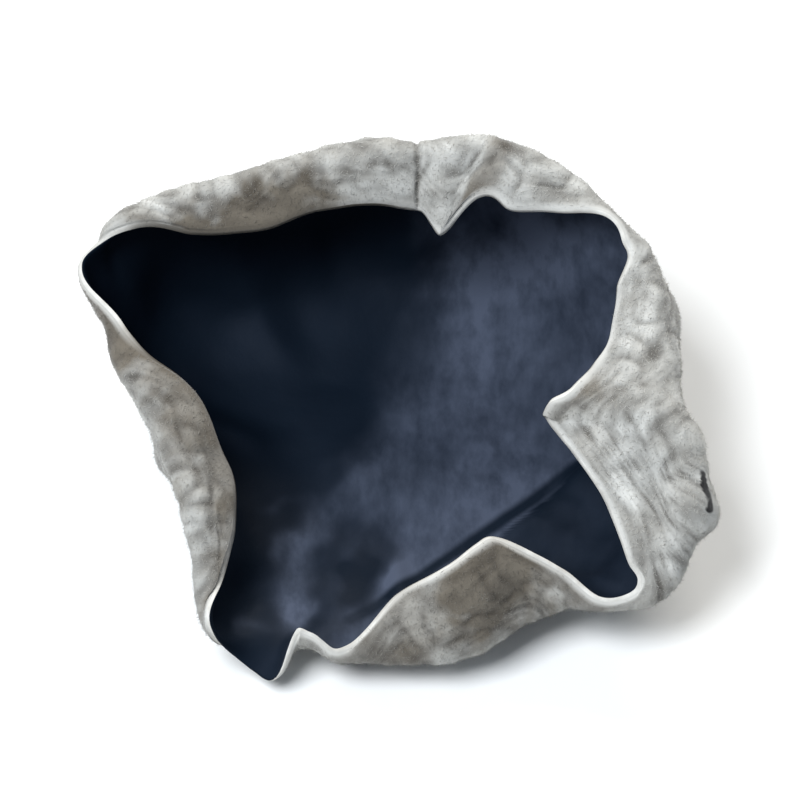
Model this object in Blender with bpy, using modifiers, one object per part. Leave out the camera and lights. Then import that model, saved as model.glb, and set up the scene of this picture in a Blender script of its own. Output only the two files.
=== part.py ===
"""One dried wood ear mushroom: a thin leathery cup, about 30 mm across, lying on its back.

The whole mushroom grew as one piece, so it is one solid. Its black inner face looks up out of
the cup, its grey felted back is outside, and the margin has rolled inwards in drying, so that
a band of the felt shows all round the mouth. The stub that held it to the wood is under the
cup, cut off flat, and the mushroom rests on that cut.

Row frame: metres, +Z up. The origin is on the resting plane, under the middle of the cup.
"""

import math
from collections import namedtuple

import bmesh
import bpy
import numpy as np
from mathutils import Vector, noise

MM = 0.001

# A station is one direction from the middle, seen from above, with the wall's section there in
# millimetres. clock is the direction in degrees, anticlockwise from +X. sag is the height of
# the inner face halfway out along the floor. belly is where the wall is widest, as radius and
# height. crown is where the wall turns over, and lip is where the margin ends: each is turned
# sideways from the clock by some degrees, then has its radius and height.
Station = namedtuple("Station", "clock sag belly crown lip")

STATIONS = [
    # The right of the mouth, up from the tongue.
    Station(8, 1.3, (12.8, 5.4), (0, 12.7, 9.1), (0, 10.4, 8.7)),
    Station(22, 1.4, (12.7, 5.8), (0, 13.0, 9.8), (0, 11.5, 9.3)),
    Station(38, 1.5, (12.7, 6.2), (0, 13.0, 10.6), (-3, 12.6, 11.2)),
    # The back, with its crease at 84 degrees.
    Station(55, 1.6, (12.6, 6.6), (0, 12.3, 11.7), (0, 10.2, 10.6)),
    Station(63, 1.6, (12.4, 6.7), (0, 12.0, 12.0), (0, 10.1, 11.0)),
    Station(70, 1.6, (12.2, 6.8), (0, 11.8, 12.1), (0, 9.2, 10.6)),
    Station(84, 1.5, (11.3, 6.8), (0, 11.0, 11.9), (-2, 8.7, 10.3)),
    Station(97, 1.5, (11.4, 6.8), (0, 10.9, 12.0), (0, 8.9, 10.7)),
    Station(113, 1.5, (11.7, 6.6), (0, 11.2, 11.6), (0, 9.1, 10.5)),
    Station(129, 1.4, (13.0, 6.4), (0, 12.6, 11.0), (0, 9.9, 10.1)),
    # The back left corner, where the margin stands up unrolled.
    Station(143, 1.4, (14.3, 6.2), (0, 14.5, 10.4), (0, 12.5, 9.9)),
    Station(150, 1.35, (14.5, 5.9), (0, 15.3, 10.3), (0, 14.6, 10.4)),
    Station(157, 1.3, (14.6, 5.4), (0.5, 15.9, 8.4), (1, 16.2, 9.5)),
    Station(169, 1.2, (12.7, 4.9), (0, 14.0, 7.9), (-1, 13.5, 8.8)),
    # The left strip, down to its point.
    Station(182, 1.15, (10.4, 4.5), (0, 11.8, 7.7), (-3, 10.1, 7.5)),
    Station(197, 1.15, (9.6, 4.1), (0, 11.1, 7.0), (-1, 9.0, 6.7)),
    Station(211, 1.1, (9.8, 3.6), (0, 11.4, 6.2), (0, 8.9, 5.9)),
    Station(221, 1.05, (10.6, 2.9), (0, 12.2, 5.1), (0, 10.1, 5.1)),
    Station(228, 1.0, (12.1, 2.4), (0, 13.5, 4.0), (0, 12.1, 4.5)),
    Station(233, 0.95, (12.9, 2.0), (0, 14.1, 3.1), (0, 14.4, 4.0)),
    # The spout at the front left, and the small curl beside it.
    Station(238, 0.95, (12.5, 1.5), (0, 13.4, 1.6), (0, 14.0, 1.7)),
    Station(243, 0.95, (12.1, 1.4), (1, 12.9, 1.4), (1.5, 13.7, 1.4)),
    Station(247, 1.0, (11.7, 1.8), (0, 12.2, 2.6), (0, 12.3, 3.4)),
    Station(251, 1.05, (11.6, 1.8), (0, 12.0, 2.6), (0, 12.2, 3.3)),
    # The low front wall, which rises to the right.
    Station(257, 1.05, (11.8, 1.6), (0, 12.2, 2.0), (0, 12.4, 2.6)),
    Station(263, 1.05, (11.8, 1.8), (0, 12.0, 2.8), (0, 11.4, 3.4)),
    Station(270, 1.05, (11.8, 1.9), (0, 11.5, 3.4), (0, 10.3, 4.4)),
    Station(282, 1.1, (11.8, 2.0), (0, 11.2, 4.0), (0, 9.6, 5.3)),
    Station(293, 1.2, (11.6, 2.1), (1, 11.0, 4.4), (1, 9.2, 6.0)),
    Station(303, 1.2, (11.4, 2.3), (2, 11.0, 4.3), (0, 9.5, 5.9)),
    Station(311, 1.15, (11.8, 2.4), (1, 12.3, 4.0), (1, 12.1, 4.9)),
    Station(314, 1.1, (12.0, 2.5), (0, 13.5, 3.4), (0, 13.8, 4.1)),
    # The tongue: here the margin folds back over itself and out past the wall.
    Station(318, 1.1, (12.2, 2.7), (0, 14.6, 3.7), (0, 14.9, 4.6)),
    Station(321, 1.1, (12.4, 2.9), (-1, 15.5, 4.1), (-1.5, 15.0, 5.1)),
    Station(324, 1.1, (12.6, 3.0), (-1.5, 16.0, 4.5), (-3.5, 14.2, 5.4)),
    Station(330, 1.2, (12.8, 3.4), (-1, 15.9, 5.4), (-4, 12.4, 6.3)),
    Station(337, 1.2, (13.0, 4.0), (0, 15.4, 6.3), (-1, 9.3, 7.1)),
    Station(341, 1.2, (13.0, 4.3), (0, 14.9, 6.9), (2, 7.9, 7.3)),
    Station(345, 1.2, (13.0, 4.6), (0, 14.6, 7.4), (2.2, 7.35, 7.35)),
    Station(348, 1.25, (13.0, 4.8), (0, 14.1, 7.8), (3, 7.65, 8.1)),
    Station(352, 1.3, (13.0, 5.0), (0, 13.4, 8.3), (1.8, 8.5, 8.5)),
]

MIDDLE = (-0.08, -0.13, 0)  # middle of the finished mushroom, which is put over the origin, in mm
HUB = (0.3, 1.6, 1.6)  # middle of the cup's floor, over the stub, in mm
HUB_FLAT = 3.0  # mm, how far out from the hub the floor stays level
FLOOR_SHARE = 0.5  # how far out along the floor the sag is given, as a share of the belly's radius
FOOT_SHARE = 0.87  # where the floor turns up into the wall
FOOT_RISE = 0.32  # and how far up towards the belly it is there

# A pleat is a crease that runs out from the stub: its clock, its half width in degrees, how
# deep it pushes the wall in, in mm, and the shares of the way to the margin where it is deep.
# A negative depth is a fold that stands out.
Pleat = namedtuple("Pleat", "clock half_width depth start end")
PLEATS = [
    Pleat(69, 5.5, 0.28, 0.55, 1.0),
    Pleat(84, 4.0, 0.30, 0.35, 1.0),
    Pleat(106, 5.0, -0.35, 0.35, 0.8),
    Pleat(128, 6.0, 0.45, 0.25, 0.8),
    Pleat(167, 7.0, 0.60, 0.25, 0.9),
    Pleat(196, 5.0, -0.40, 0.45, 0.9),
    Pleat(247, 5.0, -0.30, 0.60, 1.0),
    Pleat(272, 6.0, 0.45, 0.35, 1.0),
    Pleat(356, 6.0, 0.50, 0.30, 0.8),
    Pleat(18, 5.0, -0.35, 0.35, 0.8),
    Pleat(40, 7.0, 0.45, 0.25, 0.8),
]

# A flap is a point that the margin ends in: its clock, its half width in degrees and how much
# further the margin reaches there, in mm. A negative reach is a nick.
Flap = namedtuple("Flap", "clock half_width reach")
FLAPS = [
    Flap(75, 10.0, 1.4),
    Flap(243, 2.5, 0.3),
    Flap(232, 4.0, 0.5),
    Flap(28, 5.0, -0.5),
]

# A bump is a place where the wall stands out, such as the small hook on the tongue's outer
# edge: its clock, its share of the way to the margin, and its radius and height in mm.
Bump = namedtuple("Bump", "clock share radius height")
BUMPS = [Bump(335.5, 0.755, 0.9, 0.8), Bump(340, 0.715, 1.1, 0.25)]

WALL = 0.75  # mm, the dried flesh halfway out
MARGIN_WALL = 0.5  # mm, at the margin
STUB_WALL = 2.8  # mm, down through the stub
STUB_RADIUS = (1.7, 3.9)  # mm from the hub, where the stub starts to taper and where it ends

BUCKLE = 0.45  # mm, how far drying has buckled the wall either way
BUCKLE_LENGTH = 5.6  # mm, from one buckle to the next
FOLD_RADIUS = 1.6  # mm, folds tighter than this hardly buckle
FOLD_SPREAD = 19  # points of the table over which a fold's bend is spread
RIDGE = 0.17  # mm, how high the felted back's wrinkles stand
RIDGE_LENGTH = 3.4  # mm, from one wrinkle to the next
RAGGED = 0.25  # mm, how far the margin wanders
RAGGED_LENGTH = 2.4  # mm, from one wander to the next

GRID = 48  # squares along one side of the sheet that is shaped into the cup
MARGIN_CROWDING = 0.45  # how much closer together its rows are at the margin
TURN = -20  # degrees, how the sheet is turned, which keeps its corners off the folds
CLOCKS = 720  # directions in the table that the sheet is laid on
STEPS = 161  # and points along each direction
CURVE_STEPS = 40  # and points on each span of the curves that these are read from

KNIFE = (0.05, 0.05, 0.01)  # m, the block below the resting plane that cuts the stub

FELT_GREY = (0.36, 0.36, 0.345, 1.0)


def polar(clock, radius, height):
    """A point from its direction in degrees, its distance from the axis and its height."""
    angle = math.radians(clock)
    return (radius * math.cos(angle), radius * math.sin(angle), height)


def section_of(station):
    """The wall's control points in one direction, from the hub out to the margin."""
    clock, sag, (belly, belly_z), (crown_turn, crown, crown_z), (lip_turn, lip, lip_z) = station
    foot_z = sag + FOOT_RISE * (belly_z - sag)
    flat_x, flat_y, _ = polar(clock, HUB_FLAT, 0)
    return [
        HUB,
        (HUB[0] + flat_x, HUB[1] + flat_y, HUB[2]),
        polar(clock, FLOOR_SHARE * belly, sag),
        polar(clock, FOOT_SHARE * belly, foot_z),
        polar(clock, belly, belly_z),
        polar(clock + crown_turn, crown, crown_z),
        polar(clock + lip_turn, lip, lip_z),
    ]


def hermite(p0, p1, m0, m1, t):
    """A cubic from p0 to p1 that leaves along m0 and arrives along m1."""
    return (
        (2 * t**3 - 3 * t**2 + 1) * p0
        + (t**3 - 2 * t**2 + t) * m0
        + (3 * t**2 - 2 * t**3) * p1
        + (t**3 - t**2) * m1
    )


def round_curve(clocks, ring, at):
    """A smooth closed curve through the ring's points, read at the given clocks."""
    knots = np.concatenate([[clocks[-1] - 360], clocks, clocks[:2] + 360])
    points = np.concatenate([ring[-1:], ring, ring[:2]])
    slopes = (points[2:] - points[:-2]) / (knots[2:] - knots[:-2])[:, None]
    at = (at - clocks[0]) % 360 + clocks[0]
    i = np.searchsorted(clocks, at, side="right")
    span = (knots[i + 1] - knots[i])[:, None]
    t = (at - knots[i])[:, None] / span
    return hermite(points[i], points[i + 1], slopes[i - 1] * span, slopes[i] * span, t)


def out_curves(points):
    """Smooth curves out from the hub, one for each direction, through that direction's points."""
    spans = np.linalg.norm(np.diff(points, axis=1), axis=2)[:, :, None]
    chords = np.diff(points, axis=1) / spans
    before, after = spans[:, :-1], spans[:, 1:]
    inner = (chords[:, :-1] * after + chords[:, 1:] * before) / (before + after)
    level = chords[:, :1] * np.array([1, 1, 0])
    slopes = np.concatenate([level, inner, chords[:, -1:]], axis=1)
    t = np.linspace(0, 1, CURVE_STEPS, endpoint=False)[None, :, None]
    pieces = []
    for k in range(points.shape[1] - 1):
        span = spans[:, k, None]
        leave, arrive = slopes[:, k, None] * span, slopes[:, k + 1, None] * span
        pieces.append(hermite(points[:, k, None], points[:, k + 1, None], leave, arrive, t))
    return np.concatenate(pieces + [points[:, -1:]], axis=1)


def even_steps(curves):
    """The same curves with their points evenly spaced in length."""
    lengths = np.linalg.norm(np.diff(curves, axis=1), axis=2).cumsum(axis=1)
    even = np.linspace(0, 1, STEPS)
    table = np.empty((len(curves), STEPS, 3))
    for row, curve, length in zip(table, curves, lengths):
        share = np.concatenate([[0], length / length[-1]])
        for axis in range(3):
            row[:, axis] = np.interp(even, share, curve[:, axis])
    return table


def unit(vectors):
    return vectors / np.linalg.norm(vectors, axis=2, keepdims=True)


def normals_of(table):
    """Unit normals on the inner side of the wall."""
    around = np.roll(table, -1, axis=0) - np.roll(table, 1, axis=0)
    normals = np.cross(np.gradient(table, axis=1), around)
    normals[:, 0] = (0, 0, 1)
    return unit(normals)


def smooth_step(low, high, value):
    t = np.clip((value - low) / (high - low), 0, 1)
    return t * t * (3 - 2 * t)


def noise_at(points, length):
    """Smooth random values from -1 to 1 at points in mm, which change over the given length."""
    flat = points.reshape(-1, 3) / length
    return np.array([noise.noise(Vector(p)) for p in flat]).reshape(points.shape[:-1])


def clocks_from(clocks, clock):
    """How far each direction is from the given one, in degrees either way."""
    return (clocks - clock + 180) % 360 - 180


def margin_reach(table, clocks):
    """How much further the margin reaches in each direction, in mm."""
    reach = RAGGED * noise_at(table[:, -1] * (1, 1, 0.4), RAGGED_LENGTH)
    for flap in FLAPS:
        near = np.clip(1 - np.abs(clocks_from(clocks, flap.clock)) / flap.half_width, 0, 1)
        reach += flap.reach * smooth_step(0, 1, near)
    return reach


def bends_of(table):
    """How sharply the wall bends on its way out, in radians per mm, spread a little."""
    steps = np.linalg.norm(np.diff(table, axis=1), axis=2).mean(axis=1)
    turned = np.gradient(unit(np.gradient(table, axis=1)), axis=1)
    bends = np.linalg.norm(turned, axis=2) / steps[:, None]
    spread = np.hanning(FOLD_SPREAD) / np.hanning(FOLD_SPREAD).sum()
    return np.stack([np.convolve(row, spread, "same") for row in bends])


def wall_push(table, clocks, share):
    """How far the wall is pushed inwards at each point of the table, in mm."""
    rough = noise_at(table, BUCKLE_LENGTH) + 0.5 * noise_at(table + 7, BUCKLE_LENGTH / 2.1)
    push = BUCKLE * rough * smooth_step(0.12, 0.4, share)
    for pleat in PLEATS:
        across = np.exp(-((clocks_from(clocks, pleat.clock) / pleat.half_width) ** 2))
        begins = smooth_step(pleat.start, pleat.start + 0.2, share)
        fades = smooth_step(pleat.end, pleat.end + 0.2, share)
        push += pleat.depth * across[:, None] * (begins * (1 - fades))[None, :]
    push = push / (1 + (FOLD_RADIUS * bends_of(table)) ** 2)
    for bump in BUMPS:
        middle = table[round(bump.clock * CLOCKS / 360), round(bump.share * (STEPS - 1))]
        away = np.linalg.norm(table - middle, axis=2)
        push -= bump.height * np.exp(-((away / bump.radius) ** 2))
    return push


def cup_table():
    """The inner face in mm, as a table of points by clock and by share of the way to the margin."""
    stations = np.array([s.clock for s in STATIONS], float)
    sections = np.array([section_of(s) for s in STATIONS])
    clocks = np.arange(CLOCKS) * 360 / CLOCKS
    rings = [round_curve(stations, sections[:, k], clocks) for k in range(sections.shape[1])]
    table = even_steps(out_curves(np.stack(rings, axis=1)))
    share = np.linspace(0, 1, STEPS)
    reach = margin_reach(table, clocks)[:, None] * smooth_step(0.8, 1, share)[None, :]
    table = table + unit(np.gradient(table, axis=1)) * reach[:, :, None]
    return table + normals_of(table) * wall_push(table, clocks, share)[:, :, None]


def read(table, clock, share):
    """Points of the table at any clock and share, each between its four nearest entries."""
    row = clock / 360 * len(table)
    column = share * (table.shape[1] - 1)
    i = np.floor(row).astype(int)
    j = np.minimum(np.floor(column).astype(int), table.shape[1] - 2)
    a, b = (row - i)[:, None], (column - j)[:, None]
    i, after = i % len(table), (i + 1) % len(table)
    near = table[i, j] * (1 - a) + table[after, j] * a
    far = table[i, j + 1] * (1 - a) + table[after, j + 1] * a
    return near * (1 - b) + far * b


def disc_of(square):
    """Each point of a square sheet as a clock and a share of the way out, with no seam."""
    x, y = square[:, 0], square[:, 1]
    wide = np.abs(x) > np.abs(y)
    out = np.where(wide, np.abs(x), np.abs(y))
    safe = np.where(out > 1e-9, out, 1)
    clock = np.where(wide, 45 * y / safe * np.sign(x), (90 - 45 * x / safe) * np.sign(y))
    clock = np.where(wide & (x < 0), clock + 180, clock)
    share = (1 + MARGIN_CROWDING) * out - MARGIN_CROWDING * out**2
    return (clock + TURN) % 360, share


def thickness_at(places, share):
    """The flesh's thickness in mm, with the wrinkles of the felted back."""
    from_hub = np.linalg.norm((places - HUB)[:, :2], axis=1)
    stub = 1 - smooth_step(*STUB_RADIUS, from_hub)
    thin = smooth_step(0.6, 1, share)
    wrinkles = (0.5 - 2 * np.abs(noise_at(places, RIDGE_LENGTH))) * smooth_step(0.15, 0.3, share)
    flesh = WALL + (MARGIN_WALL - WALL) * thin + (STUB_WALL - WALL) * stub
    return flesh + RIDGE * wrinkles * (1 - thin)


def dried_flesh():
    material = bpy.data.materials.new("dried_flesh")
    material.use_nodes = True
    shader = material.node_tree.nodes["Principled BSDF"]
    shader.inputs["Base Color"].default_value = FELT_GREY
    shader.inputs["Roughness"].default_value = 0.9
    shader.inputs["Metallic"].default_value = 0.0
    return material


def new_object(name, bm, collection):
    mesh = bpy.data.meshes.new(name)
    bm.to_mesh(mesh)
    bm.free()
    made = bpy.data.objects.new(name, mesh)
    collection.objects.link(made)
    return made


def wood_ear(collection):
    """A square grid laid on the cup's inner face, then thickened outwards."""
    bm = bmesh.new()
    bmesh.ops.create_grid(bm, x_segments=GRID, y_segments=GRID, size=1.0)
    clock, share = disc_of(np.array([v.co for v in bm.verts]))
    places = read(cup_table(), clock, share)
    for vertex, place in zip(bm.verts, places - MIDDLE):
        vertex.co = place * MM
    bmesh.ops.triangulate(bm, faces=bm.faces, quad_method="SHORT_EDGE")
    ear = new_object("wood_ear", bm, collection)
    ear.data.materials.append(dried_flesh())
    ear.data.shade_smooth()
    group = ear.vertex_groups.new(name="flesh")
    for index, thickness in enumerate(thickness_at(places, share)):
        group.add([index], thickness / STUB_WALL, "REPLACE")
    flesh = ear.modifiers.new("flesh", "SOLIDIFY")
    flesh.thickness = STUB_WALL * MM
    flesh.offset = -1
    flesh.vertex_group = group.name
    return ear


def cut_stub(ear, collection):
    """Cuts the stub off flat at the resting plane."""
    bm = bmesh.new()
    bmesh.ops.create_cube(bm, size=1.0)
    knife = new_object("knife", bm, collection)
    knife.scale = KNIFE
    knife.location = (0, 0, -KNIFE[2] / 2)
    knife.hide_render = True
    knife.display_type = "WIRE"
    cut = ear.modifiers.new("cut", "BOOLEAN")
    cut.object = knife
    cut.operation = "DIFFERENCE"


def main():
    for old in list(bpy.data.objects):
        bpy.data.objects.remove(old)
    ear_collection = bpy.data.collections.new("dried_wood_ear")
    cutters = bpy.data.collections.new("cutters")
    for made in (ear_collection, cutters):
        bpy.context.scene.collection.children.link(made)
    cut_stub(wood_ear(ear_collection), cutters)


main()
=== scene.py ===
# %% [markdown]
# # A dried wood ear mushroom
# A wood ear grows on dead wood as a thin rubbery cup. Its inner face is smooth and nearly
# black, and its back is covered with a grey felt of very short hairs. In drying it shrinks,
# buckles and goes hard, and its margin rolls inwards. This one lies on its back, on the cut
# where its stub was taken off the wood, so it looks up at the camera with its black side and
# shows its felt where the margin has rolled over.
#
# The solid model of it is loaded first, as a frame of the right size.

# %% The solid model
import math
from collections import namedtuple

import bmesh
import bpy
import numpy as np
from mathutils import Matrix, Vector, noise


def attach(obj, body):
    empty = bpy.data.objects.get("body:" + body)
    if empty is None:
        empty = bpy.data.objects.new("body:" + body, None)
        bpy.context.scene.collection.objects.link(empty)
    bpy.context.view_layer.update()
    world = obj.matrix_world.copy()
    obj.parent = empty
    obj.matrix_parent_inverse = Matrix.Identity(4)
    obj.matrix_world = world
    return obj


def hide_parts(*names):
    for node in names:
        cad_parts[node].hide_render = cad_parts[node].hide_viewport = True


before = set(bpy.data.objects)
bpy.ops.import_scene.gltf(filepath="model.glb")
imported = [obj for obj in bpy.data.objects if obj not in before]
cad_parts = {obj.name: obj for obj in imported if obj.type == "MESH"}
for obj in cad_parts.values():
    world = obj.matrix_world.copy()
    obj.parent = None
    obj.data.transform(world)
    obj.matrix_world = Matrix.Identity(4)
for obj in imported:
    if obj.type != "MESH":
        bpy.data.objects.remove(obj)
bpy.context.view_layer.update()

MM = 0.001

# %% [markdown]
# ## Camera
# The picture that this follows was taken from some distance, looking down into the cup. A
# long lens gives the same flat perspective. The camera is placed by its direction from the
# mushroom, in degrees, and by how much of the table it should take in.

# %% Camera
CAMERA_ELEVATION = 52  # degrees above the table
CAMERA_LENS = 300  # mm
CAMERA_VIEW = 38.5 * MM  # how wide the picture is at the mushroom
CAMERA_AIM = Vector((0.32, 0.26, 6.3)) * MM  # the place that it looks at
CAMERA_CLIP = 0.01  # m, nearer than which nothing is drawn


def new_object(name, data):
    """An object of its own for a camera, lamp or mesh, put into the scene."""
    thing = bpy.data.objects.new(name, data)
    bpy.context.scene.collection.objects.link(thing)
    return thing


def face_back(thing, towards):
    """Turns a camera or lamp so that it looks the opposite way from the direction given."""
    thing.rotation_euler = Vector(towards).to_track_quat("Z", "Y").to_euler()


camera = new_object("camera", bpy.data.cameras.new("camera"))
bpy.context.scene.camera = camera
camera.data.lens = CAMERA_LENS
camera.data.clip_start = CAMERA_CLIP
up = math.radians(CAMERA_ELEVATION)
towards_camera = Vector((0, -math.cos(up), math.sin(up)))
camera_distance = CAMERA_VIEW * CAMERA_LENS / camera.data.sensor_width
camera.location = CAMERA_AIM + towards_camera * camera_distance
face_back(camera, towards_camera)
print(f"camera {camera_distance:.3f} m away")

# %% [markdown]
# ## Floor and light
# A dark thing is judged by what it mirrors, so the light matters more than for a pale one.
# One big soft lamp stands high at the front on the left. Its blurred reflection falls on the
# back and the right of the black cup, and leaves the left in the dark. A weaker lamp behind
# lights the rolled margin from the far side, and the sky gives the rest. Colours are shown
# as they are, with no film curve, so that the hex values further down can be compared with
# the picture.


# %% Floor and light
def linear(hex_colour):
    """An sRGB colour written as hex, as the linear colour that Blender works in."""
    parts = [int(hex_colour[i : i + 2], 16) / 255 for i in (1, 3, 5)]
    return (*[c / 12.92 if c <= 0.04045 else ((c + 0.055) / 1.055) ** 2.4 for c in parts], 1)


def feed(node, inputs):
    """Gives a node's sockets, by name or number, a value or an output. A node stands for the
    first of its outputs that is in use."""
    for socket, value in inputs.items():
        if isinstance(value, bpy.types.Node):
            value = next(output for output in value.outputs if output.enabled)
        if isinstance(value, bpy.types.NodeSocket):
            node.id_data.links.new(value, node.inputs[socket])
        else:
            node.inputs[socket].default_value = value


def add(tree, kind, inputs=None, **settings):
    """Adds a node with its settings, and feeds it."""
    node = tree.nodes.new(kind)
    for name, value in settings.items():
        setattr(node, name, value)
    feed(node, inputs or {})
    return node


def object_from(bm, name):
    """A new object with the mesh that a bmesh holds, which is then let go."""
    thing = new_object(name, bpy.data.meshes.new(name))
    bm.to_mesh(thing.data)
    bm.free()
    return thing


# Each lamp: where it stands in m, how wide it is in m, how strong in W, and its colour.
LAMPS = {
    "high_softbox": ((-0.17, -0.10, 0.36), 0.22, 2.2, "#f6faff"),
    "back_light": ((0.06, 0.30, 0.24), 0.16, 1.2, "#fffaf2"),
}
FLOOR_SIDE = 1.2  # m
FLOOR_DROP = 0.02 * MM  # which keeps the floor from flickering through the cut

for name, (place, side, power, colour) in LAMPS.items():
    lamp = new_object(name, bpy.data.lights.new(name, "AREA"))
    lamp.data.size = side
    lamp.data.energy = power
    lamp.data.color = linear(colour)[:3]
    lamp.location = place
    face_back(lamp, place)

sky = bpy.data.worlds.new("sky")
sky.use_nodes = True
feed(sky.node_tree.nodes["Background"], {"Color": linear("#d3e0f2"), "Strength": 0.28})
bpy.context.scene.world = sky
bpy.context.scene.view_settings.view_transform = "Standard"

bm = bmesh.new()
bmesh.ops.create_grid(bm, x_segments=1, y_segments=1, size=FLOOR_SIDE / 2)
floor = object_from(bm, "floor")
floor.location.z = -FLOOR_DROP
paper = bpy.data.materials.new("white_paper")
paper.use_nodes = True
feed(paper.node_tree.nodes["Principled BSDF"],
     {"Base Color": linear("#eeeeec"), "Roughness": 0.9})
floor.data.materials.append(paper)
print(len(LAMPS), "lamps over a floor", FLOOR_SIDE, "m wide")

# %% [markdown]
# ## The wall, section by section
# The shape of a dried mushroom follows no formula, but it can be described as a maker would
# describe a bowl: look at it from above, go round it by the clock, and at each place write
# down the section of the wall. Five points give a section: the floor's height, the belly
# where the wall is widest, the crown where it turns over, and the lip where it ends. Smooth
# curves run through the points, first round the cup and then outwards, which gives the whole
# inner face. Sculpting would give it too, but these numbers can be read and changed.
# They are the ones that the solid model was made from, so the two agree.

# %% Stations round the cup
# clock is in degrees anticlockwise from the right. All lengths are in mm: sag is the floor's
# height halfway out, belly is a radius and a height, and crown and lip are each turned
# sideways by some degrees and then have a radius and a height.
Station = namedtuple("Station", "clock sag belly crown lip")

STATIONS = [
    # The right of the mouth, up from the tongue.
    Station(8, 1.3, (12.8, 5.4), (0, 12.7, 9.1), (0, 10.4, 8.7)),
    Station(22, 1.4, (12.7, 5.8), (0, 13.0, 9.8), (0, 11.5, 9.3)),
    Station(38, 1.5, (12.7, 6.2), (0, 13.0, 10.6), (-3, 12.6, 11.2)),
    # The back, with its crease at 84 degrees.
    Station(55, 1.6, (12.6, 6.6), (0, 12.3, 11.7), (0, 10.2, 10.6)),
    Station(63, 1.6, (12.4, 6.7), (0, 12.0, 12.0), (0, 10.1, 11.0)),
    Station(70, 1.6, (12.2, 6.8), (0, 11.8, 12.1), (0, 9.2, 10.6)),
    Station(84, 1.5, (11.3, 6.8), (0, 11.0, 11.9), (-2, 8.7, 10.3)),
    Station(97, 1.5, (11.4, 6.8), (0, 10.9, 12.0), (0, 8.9, 10.7)),
    Station(113, 1.5, (11.7, 6.6), (0, 11.2, 11.6), (0, 9.1, 10.5)),
    Station(129, 1.4, (13.0, 6.4), (0, 12.6, 11.0), (0, 9.9, 10.1)),
    # The back left corner, where the margin stands up unrolled.
    Station(143, 1.4, (14.3, 6.2), (0, 14.5, 10.4), (0, 12.5, 9.9)),
    Station(150, 1.35, (14.5, 5.9), (0, 15.3, 10.3), (0, 14.6, 10.4)),
    Station(157, 1.3, (14.6, 5.4), (0.5, 15.9, 8.4), (1, 16.2, 9.5)),
    Station(169, 1.2, (12.7, 4.9), (0, 14.0, 7.9), (-1, 13.5, 8.8)),
    # The left strip, down to its point.
    Station(182, 1.15, (10.4, 4.5), (0, 11.8, 7.7), (-3, 10.1, 7.5)),
    Station(197, 1.15, (9.6, 4.1), (0, 11.1, 7.0), (-1, 9.0, 6.7)),
    Station(211, 1.1, (9.8, 3.6), (0, 11.4, 6.2), (0, 8.9, 5.9)),
    Station(221, 1.05, (10.6, 2.9), (0, 12.2, 5.1), (0, 10.1, 5.1)),
    Station(228, 1.0, (12.1, 2.4), (0, 13.5, 4.0), (0, 12.1, 4.5)),
    Station(233, 0.95, (12.9, 2.0), (0, 14.1, 3.1), (0, 14.4, 4.0)),
    # The spout at the front left, and the small curl beside it.
    Station(238, 0.95, (12.5, 1.5), (0, 13.4, 1.6), (0, 14.0, 1.7)),
    Station(243, 0.95, (12.1, 1.4), (1, 12.9, 1.4), (1.5, 13.7, 1.4)),
    Station(247, 1.0, (11.7, 1.8), (0, 12.2, 2.6), (0, 12.3, 3.4)),
    Station(251, 1.05, (11.6, 1.8), (0, 12.0, 2.6), (0, 12.2, 3.3)),
    # The low front wall, which rises to the right.
    Station(257, 1.05, (11.8, 1.6), (0, 12.2, 2.0), (0, 12.4, 2.6)),
    Station(263, 1.05, (11.8, 1.8), (0, 12.0, 2.8), (0, 11.4, 3.4)),
    Station(270, 1.05, (11.8, 1.9), (0, 11.5, 3.4), (0, 10.3, 4.4)),
    Station(282, 1.1, (11.8, 2.0), (0, 11.2, 4.0), (0, 9.6, 5.3)),
    Station(293, 1.2, (11.6, 2.1), (1, 11.0, 4.4), (1, 9.2, 6.0)),
    Station(303, 1.2, (11.4, 2.3), (2, 11.0, 4.3), (0, 9.5, 5.9)),
    Station(311, 1.15, (11.8, 2.4), (1, 12.3, 4.0), (1, 12.1, 4.9)),
    Station(314, 1.1, (12.0, 2.5), (0, 13.5, 3.4), (0, 13.8, 4.1)),
    # The tongue: here the margin folds back over itself and out past the wall.
    Station(318, 1.1, (12.2, 2.7), (0, 14.6, 3.7), (0, 14.9, 4.6)),
    Station(321, 1.1, (12.4, 2.9), (-1, 15.5, 4.1), (-1.5, 15.0, 5.1)),
    Station(324, 1.1, (12.6, 3.0), (-1.5, 16.0, 4.5), (-3.5, 14.2, 5.4)),
    Station(330, 1.2, (12.8, 3.4), (-1, 15.9, 5.4), (-4, 12.4, 6.3)),
    Station(337, 1.2, (13.0, 4.0), (0, 15.4, 6.3), (-1, 9.3, 7.1)),
    Station(341, 1.2, (13.0, 4.3), (0, 14.9, 6.9), (2, 7.9, 7.3)),
    Station(345, 1.2, (13.0, 4.6), (0, 14.6, 7.4), (2.2, 7.35, 7.35)),
    Station(348, 1.25, (13.0, 4.8), (0, 14.1, 7.8), (3, 7.65, 8.1)),
    Station(352, 1.3, (13.0, 5.0), (0, 13.4, 8.3), (1.8, 8.5, 8.5)),
]

MIDDLE = (-0.08, -0.13, 0)  # middle of the finished mushroom, which is put over the origin
HUB = (0.3, 1.6, 1.6)  # middle of the cup's floor, over the stub
HUB_FLAT = 3.0  # how far out from the hub the floor stays level
FLOOR_SHARE = 0.5  # how far out the sag is given, as a share of the belly's radius
FOOT_SHARE = 0.87  # where the floor turns up into the wall
FOOT_RISE = 0.32  # and how far up towards the belly it is there


def polar(clock, radius, height):
    """A point from its direction in degrees, its distance from the axis and its height."""
    angle = math.radians(clock)
    return (radius * math.cos(angle), radius * math.sin(angle), height)


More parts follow.
